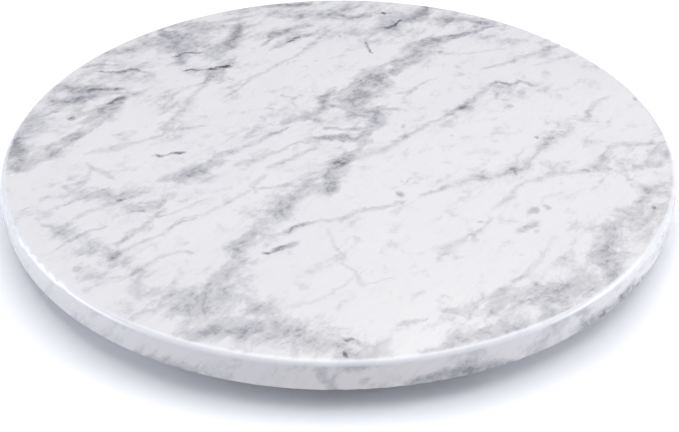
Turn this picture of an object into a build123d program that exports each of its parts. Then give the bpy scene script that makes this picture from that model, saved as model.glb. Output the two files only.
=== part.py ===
from build123d import *

import math
import os

# A marble lazy susan: a round stone slab screwed to the raised inner ring of a low aluminium
# turntable bearing, whose outer ring stands on silicone feet. Millimetres, +Z up, and the origin is
# on the table, on the axis that the slab turns about.

# Slab
slab_diameter = 304.8
slab_thickness = 13.0
slab_top_round = 3.0
slab_bottom_round = 0.8

# Bearing rings
bearing_diameter = 200.0
bearing_bore = 140.0
ring_height = 7.5
ring_step = 1.0  # the inner ring stands this much above the outer one
ring_chamfer = 0.5
race_gap = 1.2  # between the two rings, measured along the radius

# Balls, in V grooves with flanks at 45 degrees
ball_diameter = 3.97
ball_count = 36
ball_play = 0.08
groove_relief = 0.35  # from a ball to the flat bottom of its groove

# Ball cage, a crown of snap pockets in six equal lengths
cage_lengths = 6
cage_wall = 0.8
cage_rail = 0.8
cage_grip = 0.85  # how far a pocket reaches below the middle of its ball
cage_end_gap = 1.5  # degrees between two lengths
pocket_play = 0.1

# Fixings of the slab
screw_count = 6
screw_diameter = 4.0
screw_length = 12.0
screw_head_diameter = 7.2
screw_hole_diameter = 4.3
countersink_diameter = 7.7
recess_width = 4.2  # cross recess in the screw's head
recess_arm = 1.0
recess_tip = 1.8
recess_depth = 1.7
insert_diameter = 6.4
insert_waist = 5.6
insert_length = 6.0
insert_recess = 0.2
insert_hole_depth = 8.0
knurl_count = 18
knurl_notch = 0.35
gasket_thickness = 0.5
gasket_margin = 1.0

# Silicone feet, pushed into the outer ring from below
foot_count = 6
foot_pad_diameter = 10.5
foot_pad_height = 1.5
foot_stem_diameter = 4.1
foot_hole_diameter = 4.2
foot_countersink_diameter = 8.4
foot_barb_diameter = 5.6
foot_barb_height = 1.0
barb_seat_diameter = 6.0
barb_seat_depth = 1.4

# Plug in the hole that the balls are loaded through
plug_diameter = 5.0
plug_length = 12.0
plug_socket = 2.5

fit_play = 0.05  # between a part and the hole it sits in
thin_edge = 0.3  # small bevels on screws, plug and feet
cutter_overrun = 1.0  # how far a cutter passes the face that it opens

# Derived sizes
slab_radius = slab_diameter / 2
ball_radius = ball_diameter / 2
bearing_radius = bearing_diameter / 2
bore_radius = bearing_bore / 2
pitch_radius = (bearing_radius + bore_radius) / 2
outer_race = pitch_radius + race_gap / 2
inner_race = pitch_radius - race_gap / 2
foot_circle = (outer_race + bearing_radius) / 2
screw_circle = (bore_radius + inner_race) / 2

# Derived heights
outer_ring_low = foot_pad_height
outer_ring_high = outer_ring_low + ring_height
inner_ring_low = outer_ring_low + ring_step
inner_ring_high = inner_ring_low + ring_height
ball_height = (outer_ring_low + inner_ring_high) / 2
slab_low = inner_ring_high + gasket_thickness
slab_high = slab_low + slab_thickness

full_turn = 360.0
foot_step = full_turn / foot_count
screw_step = full_turn / screw_count
foot_start = foot_step / 2
plug_angle = foot_start + foot_step / 2


def turned(outline, arc=full_turn):
    """A solid turned about Z from an outline of (radius, height) points."""
    return revolve(Plane.XZ * make_face(Polyline(*outline, close=True)), Axis.Z, arc)


def around(count, radius, start=0.0, height=0.0):
    """Places for equal pieces round the axis, each with its X pointing outwards."""
    step = full_turn / count
    return [Rot(0, 0, start + i * step) * Pos(radius, 0, height) for i in range(count)]


def ring_outline(race, back, low, high):
    """Section of a bearing ring, with its V groove in the wall at the race radius."""
    out = math.copysign(1.0, back - race)
    reach = ball_radius + groove_relief
    tip = (ball_radius + ball_play) * math.sqrt(2)
    mouth = tip - race_gap / 2
    flat = tip - reach
    bottom = pitch_radius + out * reach
    edge = out * ring_chamfer
    return [
        (race + edge, low),
        (back - edge, low),
        (back, low + ring_chamfer),
        (back, high - ring_chamfer),
        (back - edge, high),
        (race + edge, high),
        (race, high - ring_chamfer),
        (race, ball_height + mouth),
        (bottom, ball_height + flat),
        (bottom, ball_height - flat),
        (race, ball_height - mouth),
        (race, low + ring_chamfer),
    ]


def countersunk_hole(low, high, hole, sink):
    """Cutter for a hole along Z with a 90 degree countersink at its lower end."""
    narrow, wide = hole / 2, sink / 2
    bottom, top = low - cutter_overrun, high + cutter_overrun
    return turned(
        [
            (0, bottom),
            (wide + cutter_overrun, bottom),
            (narrow, low + wide - narrow),
            (narrow, top),
            (0, top),
        ]
    )


def slab():
    """The stone disc, with a rounded upper rim, an eased lower rim and blind holes for inserts."""
    disc = Pos(0, 0, slab_low + slab_thickness / 2) * Cylinder(slab_radius, slab_thickness)
    disc = fillet(disc.edges().sort_by(Axis.Z)[-1], slab_top_round)
    disc = fillet(disc.edges().sort_by(Axis.Z)[0], slab_bottom_round)
    hole = Pos(0, 0, insert_hole_depth / 2) * Cylinder(insert_diameter / 2, insert_hole_depth)
    for place in around(screw_count, screw_circle, height=slab_low):
        disc -= place * hole
    return disc


def gasket():
    """Thin rubber ring between the stone and the inner ring."""
    inside, outside = bore_radius + gasket_margin, inner_race - gasket_margin
    low, high = inner_ring_high, slab_low
    ring = turned([(inside, low), (outside, low), (outside, high), (inside, high)])
    hole = Cylinder(screw_hole_diameter / 2, 4 * gasket_thickness)
    for place in around(screw_count, screw_circle, height=low):
        ring -= place * hole
    return ring


def inner_ring():
    """Turning ring of the bearing, countersunk from below for the slab's screws."""
    ring = turned(ring_outline(inner_race, bore_radius, inner_ring_low, inner_ring_high))
    hole = countersunk_hole(
        inner_ring_low, inner_ring_high, screw_hole_diameter, countersink_diameter
    )
    for place in around(screw_count, screw_circle):
        ring -= place * hole
    return ring


def outer_ring():
    """Standing ring of the bearing, with seats for the feet and the ball loading hole."""
    ring = turned(ring_outline(outer_race, bearing_radius, outer_ring_low, outer_ring_high))
    hole = countersunk_hole(
        outer_ring_low, outer_ring_high, foot_hole_diameter, foot_countersink_diameter
    )
    seat = Pos(0, 0, outer_ring_high) * Cylinder(barb_seat_diameter / 2, 2 * barb_seat_depth)
    for place in around(foot_count, foot_circle, foot_start):
        ring -= place * (hole + seat)
    depth = bearing_radius - pitch_radius - ball_radius
    loading_hole = Rot(0, 90, 0) * Cylinder(plug_diameter / 2, 2 * depth)
    return ring - Rot(0, 0, plug_angle) * Pos(bearing_radius, 0, ball_height) * loading_hole


def balls():
    """The ring of steel balls."""
    start = full_turn / ball_count / 2
    return [
        place * Sphere(ball_radius)
        for place in around(ball_count, pitch_radius, start, ball_height)
    ]


def cage_length(index):
    """One length of the crown cage, open below, that snaps down over its share of the balls."""
    arc = full_turn / cage_lengths - cage_end_gap
    inside, outside = pitch_radius - cage_wall / 2, pitch_radius + cage_wall / 2
    pocket_radius = ball_radius + pocket_play
    low, high = ball_height - cage_grip, ball_height + pocket_radius + cage_rail
    strip = turned([(inside, low), (outside, low), (outside, high), (inside, high)], arc)
    strip = Rot(0, 0, cage_end_gap / 2) * strip
    pocket = Rot(0, 90, 0) * Cylinder(pocket_radius, 4 * cage_wall)
    share = ball_count // cage_lengths
    ball_step = full_turn / ball_count
    for i in range(share):
        strip -= Rot(0, 0, (i + 0.5) * ball_step) * Pos(pitch_radius, 0, ball_height) * pocket
    return Rot(0, 0, index * full_turn / cage_lengths) * strip


def cross_recess():
    """Cutter for a tapered cross slot that opens downwards at height 0."""
    tall = 2 * recess_depth
    cross = Box(recess_width, recess_arm, tall) + Box(recess_arm, recess_width, tall)
    taper = Pos(0, 0, recess_depth / 2) * Cone(recess_width / 2, recess_tip / 2, recess_depth)
    return cross & taper


def slab_screw():
    """Countersunk machine screw, head down, with the flat of its head at height 0."""
    head, shank = screw_head_diameter / 2, screw_diameter / 2 - fit_play
    contact = countersink_diameter / 2 - fit_play
    body = turned(
        [
            (0, 0),
            (head - thin_edge / 2, 0),
            (head, thin_edge / 2),
            (head, contact - head),
            (shank, contact - shank),
            (shank, screw_length - 2 * thin_edge),
            (shank - 2 * thin_edge, screw_length),
            (0, screw_length),
        ]
    )
    return body - cross_recess()


def slab_insert():
    """Brass insert with two knurled bands and a groove between them, its lower end at height 0."""
    band, waist, bore = insert_diameter / 2, insert_waist / 2, screw_diameter / 2
    quarter = insert_length / 4
    sleeve = turned(
        [
            (bore + thin_edge, 0),
            (band, 0),
            (band, quarter + thin_edge),
            (waist, 2 * quarter - thin_edge),
            (waist, 2 * quarter + thin_edge),
            (band, 3 * quarter - thin_edge),
            (band, insert_length),
            (bore, insert_length),
            (bore, thin_edge),
        ]
    )
    notch = Rot(0, 0, 45) * Box(knurl_notch, knurl_notch, 3 * insert_length)
    for place in around(knurl_count, band):
        sleeve -= place * notch
    return sleeve


def foot():
    """Silicone foot: a pad on the table, a cone in the countersink, a stem and a barb."""
    pad, stem = foot_pad_diameter / 2, foot_stem_diameter / 2
    sink = foot_countersink_diameter / 2 - fit_play
    barb = foot_barb_diameter / 2
    barb_low = outer_ring_high - barb_seat_depth
    barb_high = barb_low + foot_barb_height
    return turned(
        [
            (0, 0),
            (pad - 2 * thin_edge, 0),
            (pad, 2 * thin_edge),
            (pad, foot_pad_height - thin_edge),
            (pad - thin_edge, foot_pad_height),
            (sink, foot_pad_height),
            (stem, foot_pad_height + sink - stem),
            (stem, barb_low),
            (barb, barb_low),
            (barb, barb_low + thin_edge),
            (stem, barb_high),
            (0, barb_high),
        ]
    )


def fill_plug():
    """Socket set screw that closes the loading hole, just below the outer ring's surface."""
    radius = plug_diameter / 2 - fit_play
    half = plug_length / 2
    body = turned(
        [
            (0, -half),
            (radius - 2 * thin_edge, -half),
            (radius, -half + 2 * thin_edge),
            (radius, half - thin_edge),
            (radius - thin_edge, half),
            (0, half),
        ]
    )
    hexagon = RegularPolygon(plug_socket / 2, 6, major_radius=False)
    body -= Pos(0, 0, half - plug_socket) * extrude(hexagon, plug_socket)
    outer_end = bearing_radius - thin_edge
    return Rot(0, 0, plug_angle) * Pos(outer_end - half, 0, ball_height) * Rot(0, 90, 0) * body


def write(name, shape):
    """One STEP file for each named sub-part; a list becomes a group of separate solids."""
    shape = Compound(children=shape) if isinstance(shape, list) else shape
    export_step(shape, os.path.join("parts", name + ".step"))


os.makedirs("parts", exist_ok=True)

write("marble_slab", slab())
write("slab_gasket", gasket())
write("inner_ring", inner_ring())
write("outer_ring", outer_ring())
write("bearing_balls", balls())
write("ball_fill_plug", fill_plug())

for i in range(cage_lengths):
    write(f"cage_length_{i + 1}", cage_length(i))

screw_places = around(screw_count, screw_circle, height=inner_ring_low)
write("slab_screws", [place * slab_screw() for place in screw_places])

insert_places = around(screw_count, screw_circle, height=slab_low + insert_recess)
write("slab_inserts", [place * slab_insert() for place in insert_places])

for i, place in enumerate(around(foot_count, foot_circle, foot_start)):
    write(f"foot_{i + 1}", place * foot())
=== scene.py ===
import math

import bpy
from mathutils import Euler, Matrix, Vector


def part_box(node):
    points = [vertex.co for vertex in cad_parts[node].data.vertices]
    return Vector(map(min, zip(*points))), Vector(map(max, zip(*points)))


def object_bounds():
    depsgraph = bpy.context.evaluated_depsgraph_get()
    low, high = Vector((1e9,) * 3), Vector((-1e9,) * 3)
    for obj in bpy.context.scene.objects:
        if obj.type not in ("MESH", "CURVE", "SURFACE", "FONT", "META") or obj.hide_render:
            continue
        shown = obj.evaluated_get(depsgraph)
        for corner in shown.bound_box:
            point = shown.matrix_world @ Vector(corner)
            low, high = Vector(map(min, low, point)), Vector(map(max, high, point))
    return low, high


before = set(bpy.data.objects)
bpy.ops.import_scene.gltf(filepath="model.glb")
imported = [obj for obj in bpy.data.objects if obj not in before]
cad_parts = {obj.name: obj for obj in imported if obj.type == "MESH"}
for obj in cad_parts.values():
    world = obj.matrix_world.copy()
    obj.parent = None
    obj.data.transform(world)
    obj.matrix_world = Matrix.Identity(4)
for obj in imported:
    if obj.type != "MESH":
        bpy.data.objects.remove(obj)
cad_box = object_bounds()

# The frame gives every place and size; the lengths below are metres unless a name says otherwise.
slab_low, slab_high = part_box("marble_slab")
slab_radius = (slab_high.x - slab_low.x) / 2
slab_top = Vector((0, 0, slab_high.z))
MM = 0.001


# ---------------------------------------------------------------- node recipes


class Recipe:
    """A node tree being written. Each call adds a node and returns its output."""

    def __init__(self, tree):
        self.tree = tree

    def add(self, kind, *values, **settings):
        node = self.tree.nodes.new("ShaderNode" + kind)
        for key, value in settings.items():
            setattr(node, key, value)
        for socket, value in zip(node.inputs, values):
            self.put(socket, value)
        return node

    def put(self, socket, value):
        """Sets a socket to a number or colour, or links it to another node's output."""
        if isinstance(value, bpy.types.NodeSocket):
            self.tree.links.new(value, socket)
        else:
            socket.default_value = value

    def math(self, operation, *values):
        return self.add("Math", *values, operation=operation).outputs[0]

    def vector(self, operation, *values):
        node = self.add("VectorMath", *values, operation=operation)
        gives_number = operation in ("LENGTH", "DOT_PRODUCT", "DISTANCE")
        return node.outputs["Value" if gives_number else "Vector"]

    def scaled(self, vector, factor):
        """A vector times a number that may vary from place to place."""
        node = self.add("VectorMath", vector, operation="SCALE")
        self.put(node.inputs["Scale"], factor)
        return node.outputs["Vector"]

    def place(self):
        """The object's own coordinates in millimetres, which turn with it."""
        return self.scaled(self.add("TexCoord").outputs["Object"], 1 / MM)

    def axes(self, vector):
        return self.add("SeparateXYZ", vector).outputs

    def joined(self, x, y, z):
        return self.add("CombineXYZ", x, y, z).outputs[0]

    def noise(self, vector, size, detail=3.0, roughness=0.5, out="Fac"):
        """Noise with lumps of about size millimetres, from 0 to 1."""
        node = self.add("TexNoise")
        self.put(node.inputs["Vector"], vector)
        self.put(node.inputs["Scale"], 1 / size)
        self.put(node.inputs["Detail"], detail)
        self.put(node.inputs["Roughness"], roughness)
        return node.outputs[out]

    def step(self, value, low, high, to_low=0.0, to_high=1.0):
        """A smooth rise from to_low to to_high as value goes from low to high."""
        smooth = {"interpolation_type": "SMOOTHSTEP", "clamp": False}
        return self.add("MapRange", value, low, high, to_low, to_high, **smooth).outputs[0]

    def shift(self, value, low, high, to_low, to_high):
        """The same, in a straight line."""
        return self.add("MapRange", value, low, high, to_low, to_high).outputs[0]

    def mix(self, factor, first, second, blend="MIX"):
        """Two colours mixed by a factor."""
        node = self.add("Mix", data_type="RGBA", blend_type=blend)
        self.put(node.inputs[0], factor)
        self.put(node.inputs[6], first)
        self.put(node.inputs[7], second)
        return node.outputs[2]

    def bump(self, height, strength, distance_mm):
        node = self.add("Bump")
        self.put(node.inputs["Strength"], strength)
        self.put(node.inputs["Distance"], distance_mm * MM)
        self.put(node.inputs["Height"], height)
        return node.outputs[0]

    def add_all(self, *values):
        """The sum of several values."""
        total = values[0]
        for value in values[1:]:
            total = self.math("ADD", total, value)
        return total


class Finish(Recipe):
    """A material, whose tree ends in one shader."""

    def __init__(self, name):
        self.material = bpy.data.materials.new(name)
        self.material.use_nodes = True
        super().__init__(self.material.node_tree)

    def surface(self, **inputs):
        """Sets the shader's own sockets, such as Roughness, by name with _ for a space."""
        shader = self.tree.nodes["Principled BSDF"]
        for key, value in inputs.items():
            self.put(shader.inputs[key.replace("_", " ")], value)


def darker(colour, factor):
    """A colour with its red, green and blue times a factor."""
    return (*(factor * channel for channel in colour[:3]), 1)


def rgb(red, green, blue):
    """A colour from its sRGB values out of 255."""

    def linear(channel):
        c = channel / 255
        return c / 12.92 if c <= 0.04045 else ((c + 0.055) / 1.055) ** 2.4

    return (linear(red), linear(green), linear(blue), 1.0)


def finish_nodes(recipe, *names):
    """Puts a recipe on every material slot of the CAD nodes named."""
    for name in names:
        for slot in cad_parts[name].material_slots:
            slot.material = recipe.material


# ---------------------------------------------------------------- marble

# What runs through the stone, placed on the slab's top: millimetres from its middle, x to the
# right and y away from the viewer. A line's points are (x, y, half width). Points past the rim show on
# the side alone, because the veins lean outwards at the front as they go down.

HAZE = [  # wide pale clouds, in which the fine streaks also show more
    (0.58, [(-152, -14, 20), (-144, 14, 24), (-130, 38, 30), (-114, 60, 28)]),
    (0.58, [(-132, 80, 22), (-108, 92, 26), (-86, 108, 24)]),
    (0.66, [(-90, 118, 20), (-64, 116, 26), (-56, 98, 24), (-62, 78, 16)]),
    (0.50, [(-66, 140, 18), (-24, 138, 24), (20, 134, 26), (56, 130, 24), (90, 114, 16)]),
    (0.42, [(-34, 104, 20), (0, 108, 22), (30, 106, 20), (58, 102, 14)]),
    (0.50, [(-78, 66, 12), (-62, 60, 16), (-60, 46, 12)]),
    (0.38, [(-94, 38, 14), (-80, 22, 16), (-78, 0, 14)]),
    (0.31, [(26, 62, 12), (6, 36, 26), (-6, 8, 26), (-4, -28, 22), (-14, -50, 16)]),
    (0.27, [(-22, 30, 18), (-36, 8, 18), (-58, -16, 22), (-66, -40, 20)]),
    (0.36, [(-114, -44, 12), (-100, -54, 20), (-84, -58, 22), (-62, -38, 16)]),
    (0.28, [(-112, -80, 12), (-100, -90, 20), (-82, -98, 18)]),
    (0.36, [(-18, -46, 12), (-26, -62, 14), (-38, -80, 14), (-42, -100, 12)]),
    (0.38, [(-66, -124, 12), (-48, -126, 22), (-24, -138, 20), (8, -148, 13)]),
    (0.46, [(152, -38, 14), (134, -62, 20), (110, -90, 22), (80, -118, 20), (42, -140, 14)]),
    (0.26, [(60, 112, 14), (100, 90, 18), (126, 74, 14)]),
    (0.30, [(94, 46, 18), (70, 26, 16), (52, 8, 12)]),
    (0.22, [(122, 14, 14), (102, -4, 16)]),
    (0.34, [(150, -14, 16), (126, -24, 16), (110, -36, 12)]),
    (0.24, [(86, -30, 14), (58, -42, 14)]),
    (0.45, [(-100, -126, 8), (-72, -148, 12), (-40, -162, 10)]),
    (0.50, [(158, 14, 9), (159, -16, 9), (155, -44, 9), (146, -68, 9)]),
    (0.45, [(22, -162, 9), (58, -154, 11), (94, -136, 12), (128, -106, 9)]),
]

BANDS = [  # smoky grey, with ragged edges
    (0.90, [(88, 115, 2), (72, 106, 3), (57, 97, 8), (43, 84, 18), (37, 74, 15), (30, 63, 7)]),
    (0.84, [(21, 61, 8), (16, 50, 15), (12, 40, 17), (9, 28, 15), (9, 20, 10)]),
    (0.90, [(-2, 24, 4), (10, 22, 6), (26, 22, 4)]),
    (0.90, [(22, 24, 5), (18, 14, 7), (15, 4, 6), (11, -6, 7)]),
    (0.60, [(-6, 4, 2), (4, 5, 3), (14, 4, 2)]),
    (0.85, [(-10, -4, 3), (0, -4, 5), (11, -5, 4)]),
    (0.85, [(9, -13, 4), (2, -22, 9), (-3, -34, 9), (-3, -46, 6)]),
    (0.75, [(-27, 10, 3), (-19, 14, 6), (-10, 19, 5), (-6, 30, 5), (-2, 44, 4)]),
    (0.60, [(-16, 15, 4), (-10, 11, 3)]),
    (0.50, [(-14, -42, 5), (-22, -54, 8), (-26, -64, 11), (-32, -74, 6)]),
    (0.56, [(-35, -76, 4), (-39, -86, 8), (-38, -97, 8), (-43, -106, 8)]),
    (0.54, [(-74, -115, 6), (-60, -117, 13), (-48, -117, 16), (-36, -114, 13), (-30, -122, 9)]),
    (
        0.58,
        [(-56, -138, 6), (-44, -136, 9), (-32, -133, 10), (-20, -134, 12), (-11, -140, 13), (3, -147, 10)],
    ),
    (1.00, [(-106, 35, 4), (-110, 26, 9), (-115, 15, 11), (-121, 1, 7), (-129, -12, 8), (-138, -28, 6)]),
    (0.90, [(-152, 0, 8), (-148, -14, 12), (-142, -28, 7)]),
    (0.85, [(-97, 111, 5), (-89, 104, 12), (-82, 94, 19), (-78, 82, 16), (-82, 74, 6)]),
    (0.55, [(-140, 32, 5), (-128, 31, 5), (-118, 38, 5), (-102, 40, 4)]),
    (0.50, [(-138, 46, 8), (-124, 42, 8), (-110, 44, 5)]),
    (0.50, [(-56, 114, 4), (-56, 104, 7), (-60, 93, 8), (-70, 86, 7)]),
    (0.50, [(-58, 68, 5), (-64, 60, 6), (-68, 51, 3)]),
    (0.60, [(-40, 94, 3), (-34, 104, 5), (-25, 112, 5), (-18, 119, 4)]),
    (0.50, [(-34, 90, 4), (-26, 97, 6), (-16, 103, 4)]),
    (0.75, [(24, 110, 7), (36, 120, 10), (46, 127, 9), (52, 138, 5)]),
    (0.50, [(60, 122, 5), (70, 123, 6), (84, 117, 4)]),
    (0.50, [(-28, 128, 6), (-12, 128, 6), (2, 126, 6), (12, 130, 4)]),
    (0.60, [(-40, 142, 4), (-28, 144, 5), (-18, 146, 3)]),
    (0.32, [(-124, -52, 4), (-112, -50, 8), (-98, -47, 10), (-84, -46, 8)]),
    (0.55, [(-76, -38, 5), (-68, -36, 9), (-62, -30, 8), (-52, -24, 4)]),
    (0.26, [(-120, -72, 4), (-108, -78, 9), (-98, -88, 9), (-99, -100, 8), (-88, -108, 6)]),
    (0.32, [(-84, -60, 6), (-76, -56, 6), (-70, -50, 3)]),
    (0.32, [(-86, -78, 4), (-88, -92, 6), (-76, -102, 5)]),
    (0.50, [(152, -18, 5), (142, -26, 6), (132, -30, 3)]),
    (0.36, [(126, -26, 7), (126, -38, 4), (134, -48, 8), (142, -54, 5)]),
    (0.40, [(128, -56, 7), (118, -68, 9), (107, -78, 12), (102, -92, 13), (104, -104, 8)]),
    (0.45, [(94, -108, 8), (82, -116, 10), (76, -126, 7)]),
    (0.42, [(72, -112, 4), (60, -117, 8), (46, -126, 7), (40, -124, 4)]),
    (0.48, [(90, -126, 4), (70, -132, 8), (54, -138, 9), (40, -142, 7), (30, -148, 4)]),
    (0.75, [(-6, -156, 4), (-1, -162, 5), (2, -166, 4)]),
    (0.75, [(30, -160, 4), (44, -158, 7), (62, -152, 5)]),
    (0.75, [(-72, -148, 5), (-60, -154, 7), (-46, -160, 4)]),
    (0.80, [(94, -132, 5), (112, -118, 8), (128, -100, 5)]),
    (0.60, [(134, -84, 4), (146, -62, 6), (154, -40, 5)]),
]

VEINS = [  # thin and fairly sharp
    (0.60, [(118, 89, 2.4), (108, 82, 3.3), (97, 74, 3.6), (88, 69, 2.7), (76, 63, 2.1)]),
    (0.55, [(50, 52, 1.8), (42, 46, 2.1), (34, 38, 3.6), (27, 36, 1.8)]),
    (0.65, [(80, 48, 1.8), (73, 40, 3.6), (66, 31, 3.6), (56, 20, 3.3), (46, 9, 2.4), (37, 2, 2.7)]),
    (0.70, [(38, 3, 2.1), (28, -5, 3.3), (20, -13, 3.9), (11, -19, 5.4), (2, -25, 4.8)]),
    (0.45, [(133, 33, 1.8), (125, 25, 3.0), (117, 15, 2.7)]),
    (0.65, [(108, 3, 2.1), (101, -3, 3.9), (94, -11, 4.2), (88, -22, 2.7), (82, -30, 3.6)]),
    (0.60, [(84, -29, 3.0), (70, -37, 5.1), (58, -40, 4.2), (47, -46, 3.3), (35, -52, 1.8)]),
    (0.55, [(26, -56, 1.8), (16, -59, 2.4), (8, -63, 3.3), (2, -68, 3.3), (-8, -70, 2.1), (-23, -77, 2.4)]),
    (0.55, [(154, -9, 2.7), (140, -11, 3.3), (127, -12, 3.6), (120, -20, 3.3), (112, -30, 3.3)]),
    (
        0.45,
        [(118, -32, 3.0), (98, -36, 3.0), (88, -38, 3.0), (80, -43, 2.1), (74, -52, 3.6), (66, -60, 2.7)],
    ),
    (0.50, [(62, -68, 2.1), (57, -76, 2.1), (50, -82, 2.7), (42, -89, 4.2), (38, -96, 1.8)]),
    (0.55, [(-5, 110, 1.8), (-12, 96, 2.4), (-20, 84, 2.1), (-30, 72, 2.2), (-40, 60, 2.7)]),
    (0.55, [(-38, 62, 2.1), (-44, 54, 3.3), (-48, 46, 1.8), (-56, 35, 2.4)]),
    (0.50, [(-66, 48, 1.8), (-73, 35, 3.3), (-75, 25, 3.9), (-79, 15, 3.0)]),
    (0.35, [(-68, 52, 1.5), (-80, 39, 2.1), (-87, 24, 1.8)]),
    (0.90, [(-124, 62, 2.1), (-114, 62, 2.7), (-104, 63, 3.0), (-98, 60, 2.4)]),
    (0.60, [(-132, 68, 2.4), (-124, 71, 3.0), (-116, 70, 1.5)]),
    (0.80, [(-120, 42, 2.7), (-114, 43, 3.3), (-108, 44, 1.8)]),
    (0.50, [(-76, 2, 1.8), (-90, -6, 2.1), (-102, -12, 3.6), (-114, -17, 1.8)]),
    (0.45, [(-80, 2, 2.4), (-70, 5, 3.0), (-62, 8, 1.5)]),
    (0.55, [(-113, -25, 1.5), (-105, -31, 3.6), (-98, -37, 1.8)]),
    (0.60, [(-24, 6, 1.8), (-36, -6, 3.3), (-46, -14, 3.9), (-56, -21, 3.6)]),
    (0.60, [(-18, -8, 1.8), (-30, -18, 2.1), (-39, -24, 3.6), (-46, -27, 2.1)]),
    (0.50, [(-12, -14, 1.5), (-22, -22, 2.4), (-30, -28, 2.1)]),
    (0.45, [(-12, -34, 3.0), (-22, -42, 3.0), (-34, -44, 2.4)]),
    (0.45, [(-30, -34, 2.1), (-36, -42, 3.0), (-34, -48, 1.8)]),
    (0.40, [(-36, -46, 1.8), (-46, -55, 2.2), (-56, -64, 2.4), (-62, -67, 1.8)]),
    (0.55, [(-58, -67, 1.5), (-70, -77, 2.2), (-80, -84, 2.4), (-90, -94, 2.8)]),
    (0.55, [(-60, -89, 1.5), (-70, -95, 2.2), (-80, -103, 2.6)]),
    (0.50, [(-72, -60, 1.5), (-80, -72, 2.4), (-88, -84, 2.0)]),
    (0.55, [(-84, -48, 1.8), (-98, -58, 2.4), (-108, -66, 2.2)]),
    (0.50, [(-94, -72, 1.5), (-104, -79, 2.2), (-113, -88, 1.5)]),
    (0.45, [(-56, -52, 1.4), (-68, -62, 2.0), (-78, -66, 1.5)]),
    (0.45, [(-100, -44, 1.4), (-112, -54, 2.2), (-120, -60, 1.4)]),
    (0.40, [(-20, 27, 1.8), (-24, 36, 2.4), (-28, 38, 1.8)]),
    (0.55, [(28, 132, 2.4), (20, 129, 2.4), (10, 128, 3.0), (1, 131, 3.6)]),
    (0.45, [(17, 148, 2.1), (12, 142, 3.0), (4, 136, 2.1)]),
    (0.35, [(50, 78, 1.5), (60, 80, 2.4), (74, 82, 1.8), (90, 86, 1.8)]),
    (0.30, [(104, 66, 1.8), (114, 73, 2.4), (124, 78, 2.1)]),
    (0.30, [(-4, -76, 1.5), (-3, -86, 2.1), (2, -92, 1.5)]),
    (0.35, [(2, -98, 1.5), (6, -106, 3.0), (10, -110, 2.1), (20, -106, 1.8)]),
    (0.30, [(-18, -122, 1.5), (-6, -116, 1.8), (4, -106, 1.5)]),
    (0.35, [(84, -88, 1.5), (76, -98, 2.4), (66, -108, 2.4)]),
    (0.60, [(-50, 130, 2.1), (-60, 125, 3.9), (-70, 121, 2.7)]),
    (0.50, [(78, 36, 1.5), (76, 32, 2.4), (80, 30, 1.5)]),
]

FLECKS = [  # small dark mineral grains in short runs
    (0.62, [(-84, -20, 1.2), (-79, -20, 1.9), (-76, -17, 1.4), (-72, -16, 2.2)]),
    (0.92, [(-66, 65, 2.0), (-60, 67, 2.6), (-56, 67, 1.6)]),
    (0.46, [(-79, 62, 1.8), (-75, 64, 1.8), (-68, 65, 1.4)]),
    (0.71, [(14, 96, 1.0), (16, 91, 2.2), (18, 84, 1.2)]),
    (0.67, [(34, 122, 1.6), (31, 117, 1.6), (28, 113, 2.4)]),
    (0.62, [(-86, 79, 1.8), (-80, 82, 2.6), (-73, 83, 2.0)]),
    (0.50, [(82, 48, 2.4), (88, 47, 3.0), (93, 50, 2.2), (98, 46, 3.6)]),
    (0.25, [(29, -43, 1.0), (31, -39, 1.4)]),
    (0.42, [(74, -77, 2.4), (79, -72, 3.0)]),
    (0.12, [(58, -17, 2.6), (64, -15, 2.6), (71, -18, 2.8)]),
    (0.54, [(2, -139, 1.4), (6, -141, 2.0)]),
    (0.80, [(-29, -90, 1.4), (-24, -87.5, 2.4), (-18, -84, 2.6)]),
    (0.29, [(-86, -63, 1.4), (-80, -61, 1.6)]),
    (0.29, [(21, -133, 2.0), (26, -132, 2.4), (31, -130, 1.2)]),
    (0.42, [(-26, 96, 1.8), (-22, 101, 2.0)]),
    (0.38, [(-112, 30, 2.0), (-107, 34, 2.0)]),
    (0.50, [(-22, -75, 1.8), (-15, -72, 2.0)]),
]

SPOTS = [  # single grains: strength, x, y, radius
    (0.75, 26, 131, 2.2),
    (0.71, -129, 16, 2.6),
    (0.33, 83, 24, 3.2),
    (0.46, 145, 28, 2.4),
    (0.33, 30, 7, 2.2),
    (0.50, 25, -51, 2.9),
    (0.40, 81, -63, 3.6),
    (0.36, 87, -60, 2.8),
    (0.46, 92, -5, 1.4),
    (0.25, 51, -4, 1.3),
    (0.67, 130.5, -61, 1.3),
    (0.25, 57, -70, 2.0),
    (0.96, 1.5, -147, 1.5),
    (0.33, -55, 55, 1.9),
    (0.29, -136, 23, 2.0),
    (0.38, -101, -100, 2.6),
    (0.15, 62, 58, 2.2),
    (0.15, 62, 64, 2.0),
    (0.15, 56, 42, 1.7),
    (0.17, 127, 11, 2.4),
    (0.33, 54, 82, 1.6),
    (0.25, -45, 18, 1.9),
    (0.25, -32, 23, 1.9),
    (0.38, 0, 102, 1.9),
    (0.33, 50, 141, 3.2),
    (0.33, -30, 144, 3.0),
    (0.38, 10, -158.5, 2.6),
    (0.25, 80, -78, 2.0),
    (0.21, -118, -43, 2.4),
    (0.60, 112, -117, 2.8),
    (0.50, 121, -108, 2.0),
    (0.40, 102, -126, 2.0),
    (0.40, -62, -152, 2.4),
]


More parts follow.
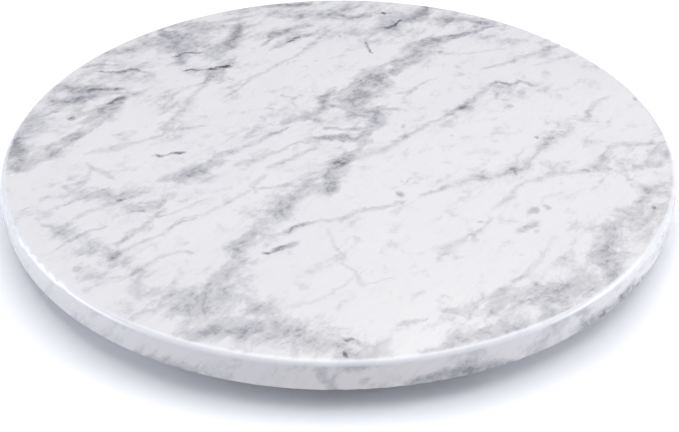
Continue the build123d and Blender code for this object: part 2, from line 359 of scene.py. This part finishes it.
def line_group(strength, points):
    """A small node group that draws one soft line through given points."""
    group = Recipe(bpy.data.node_groups.new("line", "ShaderNodeTree"))
    group.tree.interface.new_socket("place", in_out="INPUT", socket_type="NodeSocketVector")
    group.tree.interface.new_socket("tone", in_out="OUTPUT", socket_type="NodeSocketFloat")
    at = group.tree.nodes.new("NodeGroupInput").outputs[0]

    first, last = Vector(points[0][:2]), Vector(points[-1][:2])
    along = (last - first).normalized()
    across = Vector((-along.y, along.x))
    fade = 1.5  # half widths over which the line fades out past each end
    first -= fade * points[0][2] * along
    last += fade * points[-1][2] * along
    length = (last - first).length
    sides = [across.dot(Vector(point[:2])) for point in points]
    width = max(max(sides) - min(sides), *[point[2] for point in points])
    corner = across * min(sides) + along * along.dot(first)
    local = group.vector("SUBTRACT", at, (corner.x, corner.y, 0))
    run = group.vector("DOT_PRODUCT", local, (along.x / length, along.y / length, 0))
    side = group.vector("DOT_PRODUCT", local, (across.x / width, across.y / width, 0))

    # The ramp holds, along the line, where its middle is, how wide it is and how strong. A ramp
    # keeps nothing above 1, so lengths across the line are in parts of its width.
    ramp = group.add("ValToRGB", run)
    ramp.color_ramp.interpolation = "CARDINAL"
    stops = ramp.color_ramp.elements
    for end in (0, -1):
        stops[end].color = ((sides[end] - min(sides)) / width, points[end][2] / width, 0, 1)
    for side_at, (x, y, half) in zip(sides, points):
        stop = stops.new(along.dot(Vector((x, y)) - corner) / length)
        stop.color = ((side_at - min(sides)) / width, half / width, strength, 1)
    middle, half, power = group.add("SeparateColor", ramp.outputs["Color"]).outputs
    offset = group.math("ABSOLUTE", group.math("SUBTRACT", side, middle))
    tone = group.step(offset, 0.0, half, power, 0.0)
    group.put(group.tree.nodes.new("NodeGroupOutput").inputs[0], tone)
    return group.tree


def drawn(recipe, at, lines):
    """The strongest of the lines at each place."""
    total = 0.0
    for strength, points in lines:
        line = recipe.add("Group", node_tree=line_group(strength, points))
        recipe.put(line.inputs[0], at)
        total = recipe.math("MAXIMUM", total, line.outputs[0])
    return total


def marble():
    """White marble: smoky bands, thin veins and grains, over clouds and fine diagonal streaks."""
    recipe = Finish("white_marble")
    here = recipe.place()
    x, y, z = recipe.axes(here)
    depth = recipe.math("SUBTRACT", slab_high.z / MM, z)
    lean = (0.2, -0.9)  # how far the veins move sideways for each millimetre down
    flat = recipe.joined(
        recipe.math("MULTIPLY_ADD", depth, lean[0], x),
        recipe.math("MULTIPLY_ADD", depth, lean[1], y),
        0.0,
    )

    def bent(at, size, reach, detail):
        """The same place, pushed about by noise."""
        push = recipe.vector("SUBTRACT", recipe.noise(here, size, detail, out="Color"), (0.5, 0.5, 0.5))
        return recipe.vector("MULTIPLY_ADD", push, (reach, reach, 0.0), at)

    wavy = bent(flat, 20.0, 9.0, 3.0)
    rough = bent(wavy, 4.0, 4.0, 3.0)

    # Streaks, hair lines and mottling lie along the bedding, so their noise is drawn out that way.
    bedding = (0, 0, math.radians(50))

    def bedded(at, stretch, size, detail, roughness):
        along = recipe.add("Mapping", at, (0, 0, 0), bedding, (stretch, 1, 1), vector_type="TEXTURE")
        return recipe.noise(along.outputs[0], size, detail, roughness)

    streaks = recipe.step(bedded(flat, 8.0, 4.5, 5.0, 0.65), 0.5, 0.72)
    ridge = recipe.math("ABSOLUTE", recipe.math("SUBTRACT", bedded(wavy, 3.5, 9.0, 4.0, 0.6), 0.5))
    hairs = recipe.step(ridge, 0.0, 0.03, 1.0, 0.0)
    mottle = bedded(wavy, 1.7, 9.0, 7.0, 0.64)
    grain = recipe.noise(rough, 3.6, detail=5.0, roughness=0.64)

    haze = drawn(recipe, wavy, HAZE)
    bands = drawn(recipe, rough, BANDS)
    veins = drawn(recipe, rough, VEINS)
    flecks = drawn(recipe, rough, FLECKS)
    for strength, spot_x, spot_y, radius in SPOTS:
        reach = recipe.vector("DISTANCE", rough, (spot_x, spot_y, 0.0))
        flecks = recipe.math("MAXIMUM", flecks, recipe.step(reach, 0.3 * radius, radius, strength, 0.0))

    # Haze and bands make one field, roughened by noise: pale grey first, then dark grey in its
    # thickest parts.
    bands = recipe.math("MINIMUM", recipe.math("MULTIPLY", bands, 1.4), 1.0)
    field = recipe.math("MULTIPLY_ADD", bands, 0.85, haze)
    field = recipe.math("ADD", field, recipe.shift(mottle, 0.25, 0.75, -0.85, 0.85))
    field = recipe.math("ADD", field, recipe.shift(grain, 0.25, 0.75, -0.3, 0.3))
    pale = recipe.step(field, 0.05, 0.95, 0.0, 0.66)
    thick = recipe.math("ADD", field, recipe.shift(grain, 0.25, 0.75, -0.35, 0.35))
    dark = recipe.step(thick, 0.8, 1.55, 0.0, 0.56)

    # Streaks and hair lines show most in the haze; veins and grains come and go with the noise.
    streaky = recipe.math("MULTIPLY", streaks, recipe.math("MULTIPLY_ADD", haze, 0.4, 0.05))
    hairy = recipe.math("MULTIPLY", hairs, recipe.math("MULTIPLY_ADD", haze, 0.35, 0.05))
    uneven = recipe.math(
        "ADD",
        recipe.shift(grain, 0.3, 0.7, -0.3, 0.7),
        recipe.shift(mottle, 0.3, 0.7, 0.5, 1.0),
    )
    veined = recipe.math("MULTIPLY", veins, uneven)
    speckled = recipe.math("MULTIPLY", flecks, recipe.shift(grain, 0.35, 0.65, 0.8, 2.4))

    tone = recipe.add_all(pale, dark, streaky, hairy)
    tone = recipe.math("MULTIPLY_ADD", veined, 0.85, tone)
    tone = recipe.math("ADD", tone, speckled)

    # The rounding of the upper rim is painted paler than the face as a painted highlight, and its veins are
    # fainter under that painted highlight.
    upward = recipe.vector("DOT_PRODUCT", recipe.add("NewGeometry").outputs["Normal"], (0, 0, 1))
    painted_rim_highlight = recipe.math(
        "MULTIPLY",
        recipe.step(upward, 0.3, 0.65),
        recipe.step(upward, 0.93, 0.995, 1.0, 0.0),
    )
    tone = recipe.math("MULTIPLY", tone, recipe.math("MULTIPLY_ADD", painted_rim_highlight, -0.7, 1.0))

    tint = recipe.step(recipe.noise(here, 45.0, detail=2.0), 0.4, 0.6)
    ground = recipe.mix(tint, rgb(221, 219, 217), rgb(223, 220, 217))
    # Painted highlight: the upper rim's rounding is mixed towards a paler colour.
    ground = recipe.mix(painted_rim_highlight, ground, rgb(229, 228, 228))
    darkest = 2.4  # the tone at the ramp's end
    shades = recipe.add("ValToRGB", recipe.math("DIVIDE", tone, darkest))
    steps = shades.color_ramp.elements
    steps[0].color = (1, 1, 1, 1)
    steps[1].color = (0.11, 0.11, 0.12, 1)
    steps.new(0.42).color = (0.60, 0.605, 0.63, 1)
    steps.new(0.62).color = (0.36, 0.36, 0.38, 1)
    colour = recipe.mix(1.0, ground, shades.outputs["Color"], blend="MULTIPLY")

    recipe.surface(
        Base_Color=colour,
        Roughness=recipe.shift(grain, 0.3, 0.7, 0.18, 0.28),
        Specular_IOR_Level=0.55,
        Normal=recipe.bump(recipe.noise(here, 0.7, detail=3.0), 0.02, 0.005),
    )
    return recipe


# ---------------------------------------------------------------- other materials


def turned_metal(name, colour, roughness):
    """Satin metal with fine lathe rings about the turning axis."""
    recipe = Finish(name)
    here = recipe.place()
    x, y, z = recipe.axes(here)
    radius = recipe.vector("LENGTH", recipe.joined(x, y, 0.0))
    rings = recipe.noise(recipe.joined(radius, z, 0.0), 0.5, detail=4.0, roughness=0.7)
    smear = recipe.noise(here, 22.0, detail=3.0)
    tone = recipe.mix(recipe.step(smear, 0.3, 0.8), colour, darker(colour, 0.86))
    rough = recipe.math("ADD", recipe.shift(rings, 0.3, 0.7, -0.06, 0.08), roughness)
    recipe.surface(
        Base_Color=tone,
        Metallic=1.0,
        Roughness=rough,
        Normal=recipe.bump(rings, 0.25, 0.03),
    )
    return recipe


def small_metal(name, colour, roughness):
    """Metal with faint haze and grain, for balls, screws and inserts."""
    recipe = Finish(name)
    here = recipe.place()
    grain = recipe.noise(here, 0.35, detail=3.0)
    haze = recipe.noise(here, 3.0, detail=2.0)
    rough = recipe.math("ADD", recipe.shift(haze, 0.3, 0.7, -0.05, 0.1), roughness)
    tone = recipe.mix(haze, colour, darker(colour, 0.85))
    recipe.surface(
        Base_Color=tone,
        Metallic=1.0,
        Roughness=rough,
        Normal=recipe.bump(grain, 0.1, 0.02),
    )
    return recipe


def soft_polymer(name, colour, roughness, subsurface=0.0):
    """Matte nylon, silicone or rubber with a little dust."""
    recipe = Finish(name)
    here = recipe.place()
    grain = recipe.noise(here, 0.25, detail=2.0)
    dust = recipe.noise(here, 5.0, detail=5.0, roughness=0.65)
    dusty = (*(1.5 * channel + 0.02 for channel in colour[:3]), 1)
    tone = recipe.mix(recipe.step(dust, 0.5, 0.75, 0.0, 0.35), colour, dusty)
    rough = recipe.math("ADD", recipe.shift(dust, 0.3, 0.7, -0.04, 0.06), roughness)
    recipe.surface(
        Base_Color=tone,
        Roughness=rough,
        Subsurface_Weight=subsurface,
        Subsurface_Scale=0.002,
        Normal=recipe.bump(grain, 0.25, 0.03),
    )
    return recipe


cages = [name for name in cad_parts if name.startswith("cage_length")]
feet = [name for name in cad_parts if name.startswith("foot")]
finish_nodes(marble(), "marble_slab")
finish_nodes(turned_metal("turned_aluminium", rgb(214, 215, 218), 0.3), "inner_ring", "outer_ring")
finish_nodes(small_metal("polished_steel", rgb(200, 200, 204), 0.08), "bearing_balls")
finish_nodes(small_metal("plated_steel", rgb(186, 188, 194), 0.28), "slab_screws", "ball_fill_plug")
finish_nodes(small_metal("brass", rgb(214, 178, 102), 0.3), "slab_inserts")
finish_nodes(soft_polymer("natural_nylon", rgb(226, 222, 208), 0.42, subsurface=0.3), *cages)
finish_nodes(soft_polymer("black_silicone", rgb(52, 53, 56), 0.62), *feet)
finish_nodes(soft_polymer("black_rubber", rgb(38, 38, 40), 0.75), "slab_gasket")


# ---------------------------------------------------------------- stage and light

# The floor glows far from the object, and the sky is white to camera rays alone, so that low views
# have a pale ground too and the light on the object stays soft and dim.
GLOW_FROM_MM, GLOW_FULL_MM = 450, 1300
SKY_LIGHT, SKY_SEEN = 0.15, 0.95
SKY_TINT = (0.72, 0.84, 1.28, 1)
WHITE = (1, 1, 1, 1)

floor_mesh = bpy.data.meshes.new("floor")
half_side = 30 * slab_radius
corners = [
    (-half_side, -half_side, 0),
    (half_side, -half_side, 0),
    (half_side, half_side, 0),
    (-half_side, half_side, 0),
]
floor_mesh.from_pydata(corners, [], [(0, 1, 2, 3)])
floor = bpy.data.objects.new("floor", floor_mesh)
floor.location.z = cad_box[0].z
bpy.context.scene.collection.objects.link(floor)
paper = Finish("white_ground")
away_mm = paper.vector("LENGTH", paper.place())
paper.surface(
    Base_Color=(0.98, 0.98, 0.98, 1),
    Roughness=0.9,
    Specular_IOR_Level=0.0,
    Emission_Color=WHITE,
    Emission_Strength=paper.step(away_mm, GLOW_FROM_MM, GLOW_FULL_MM, 0.0, 0.95),
)
floor_mesh.materials.append(paper.material)

world = bpy.data.worlds.new("studio")
world.use_nodes = True
sky = Recipe(world.node_tree)
seen = sky.add("LightPath").outputs["Is Camera Ray"]
backdrop = world.node_tree.nodes["Background"]
sky.put(backdrop.inputs["Color"], sky.mix(seen, SKY_TINT, WHITE))
sky.put(backdrop.inputs["Strength"], sky.shift(seen, 0, 1, SKY_LIGHT, SKY_SEEN))
bpy.context.scene.world = world


def softbox(name, place, size, power, colour):
    """A rectangular area light that faces the slab's top."""
    data = bpy.data.lights.new(name, "AREA")
    data.shape = "RECTANGLE"
    data.size, data.size_y = size
    data.energy = power
    data.color = colour
    light = bpy.data.objects.new(name, data)
    light.location = place
    light.rotation_euler = (light.location - slab_top).to_track_quat("Z", "Y").to_euler()
    bpy.context.scene.collection.objects.link(light)


WARM = (1.0, 0.985, 0.96)
COOL = (0.94, 0.98, 1.08)
softbox("overhead", (0.08, 0.05, 0.90), (1.1, 1.0), 9.3, WARM)
softbox("right_side", (1.0, -0.15, 0.45), (0.7, 0.4), 5.4, COOL)
softbox("left_side", (-1.0, -0.15, 0.45), (0.7, 0.4), 5.0, COOL)


# ---------------------------------------------------------------- camera

view_elevation = math.radians(31.14)  # from the middle of the slab's top up to the camera
view_distance = 1.538 * 2 * slab_radius
look_down = math.radians(35.86)
turn_right = math.radians(-0.05)
roll = math.radians(-0.32)
camera_data = bpy.data.cameras.new("camera")
camera_data.sensor_width = 36.0
camera_data.lens = 53.21
camera = bpy.data.objects.new("camera", camera_data)
away = Vector((0, -math.cos(view_elevation), math.sin(view_elevation)))
camera.location = slab_top + view_distance * away
aim = Euler((math.pi / 2 - look_down, 0, turn_right)).to_matrix()
camera.rotation_euler = (aim @ Matrix.Rotation(roll, 3, "Z")).to_euler()
bpy.context.scene.collection.objects.link(camera)
bpy.context.scene.camera = camera
bpy.context.scene.view_settings.view_transform = "Standard"
